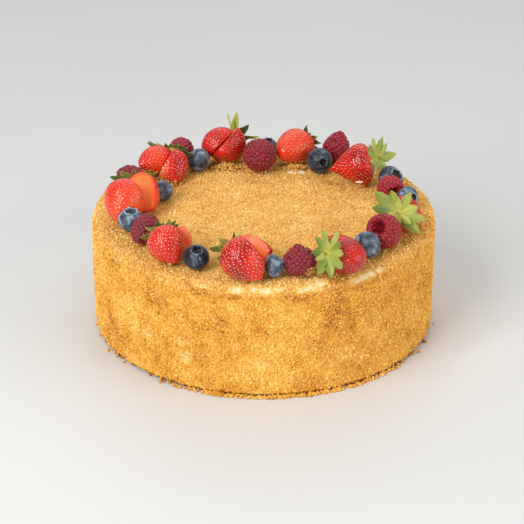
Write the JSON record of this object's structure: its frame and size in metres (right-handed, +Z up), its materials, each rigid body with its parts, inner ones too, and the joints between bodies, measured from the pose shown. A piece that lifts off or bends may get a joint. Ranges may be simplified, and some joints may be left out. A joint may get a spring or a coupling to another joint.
{
  "type": "medovik honey cake with a wreath of berries",
  "caption": "Tall round honey cake in a coat of golden crumbs, with fanned strawberries, raspberries and blueberries in a ring along its rim.",
  "frame": {"origin": "middle of the cake's flat foot, on the surface that it stands on", "axes": "+Z up, -Y towards the front that the picture shows, +X to the right of the front"},
  "size_m": [0.2034, 0.2055, 0.1007],
  "materials": {
    "honey_cake_crumb": "matt dry biscuit crumbs",
    "strawberry_skin": "glossy ripe fruit skin",
    "strawberry_leaf": "soft satin leaf",
    "raspberry_flesh": "satin juicy drupelets",
    "blueberry_skin": "dark skin under a pale waxy bloom"
  },
  "bodies": {
    "root": {"cake_body": "honey_cake_crumb", "strawberry_1_front": "strawberry_skin", "strawberry_1_back": "strawberry_skin", "strawberry_2_left": "strawberry_skin", "strawberry_2_right": "strawberry_skin", "strawberry_3_left": "strawberry_skin", "strawberry_3_right": "strawberry_skin", "strawberry_4": "strawberry_skin", "strawberry_5": "strawberry_skin", "strawberry_6": "strawberry_skin", "strawberry_7": "strawberry_skin", "strawberry_8_front": "strawberry_skin", "strawberry_8_back": "strawberry_skin", "strawberry_9_front": "strawberry_skin", "strawberry_9_back": "strawberry_skin", "leaf_cap_1": "strawberry_leaf", "leaf_cap_2": "strawberry_leaf", "leaf_cap_3": "strawberry_leaf", "leaf_cap_4": "strawberry_leaf", "leaf_cap_5": "strawberry_leaf", "leaf_cap_6": "strawberry_leaf", "leaf_cap_7": "strawberry_leaf", "leaf_cap_8": "strawberry_leaf", "leaf_cap_9": "strawberry_leaf", "raspberry_1": "raspberry_flesh", "raspberry_2": "raspberry_flesh", "raspberry_3": "raspberry_flesh", "raspberry_4": "raspberry_flesh", "raspberry_5": "raspberry_flesh", "raspberry_6": "raspberry_flesh", "raspberry_7": "raspberry_flesh", "raspberry_8": "raspberry_flesh", "blueberry_1": "blueberry_skin", "blueberry_2": "blueberry_skin", "blueberry_3": "blueberry_skin", "blueberry_4": "blueberry_skin", "blueberry_5": "blueberry_skin", "blueberry_6": "blueberry_skin", "blueberry_7": "blueberry_skin", "blueberry_8": "blueberry_skin", "blueberry_9": "blueberry_skin", "blueberry_10": "blueberry_skin"}
  },
  "joints": []
}
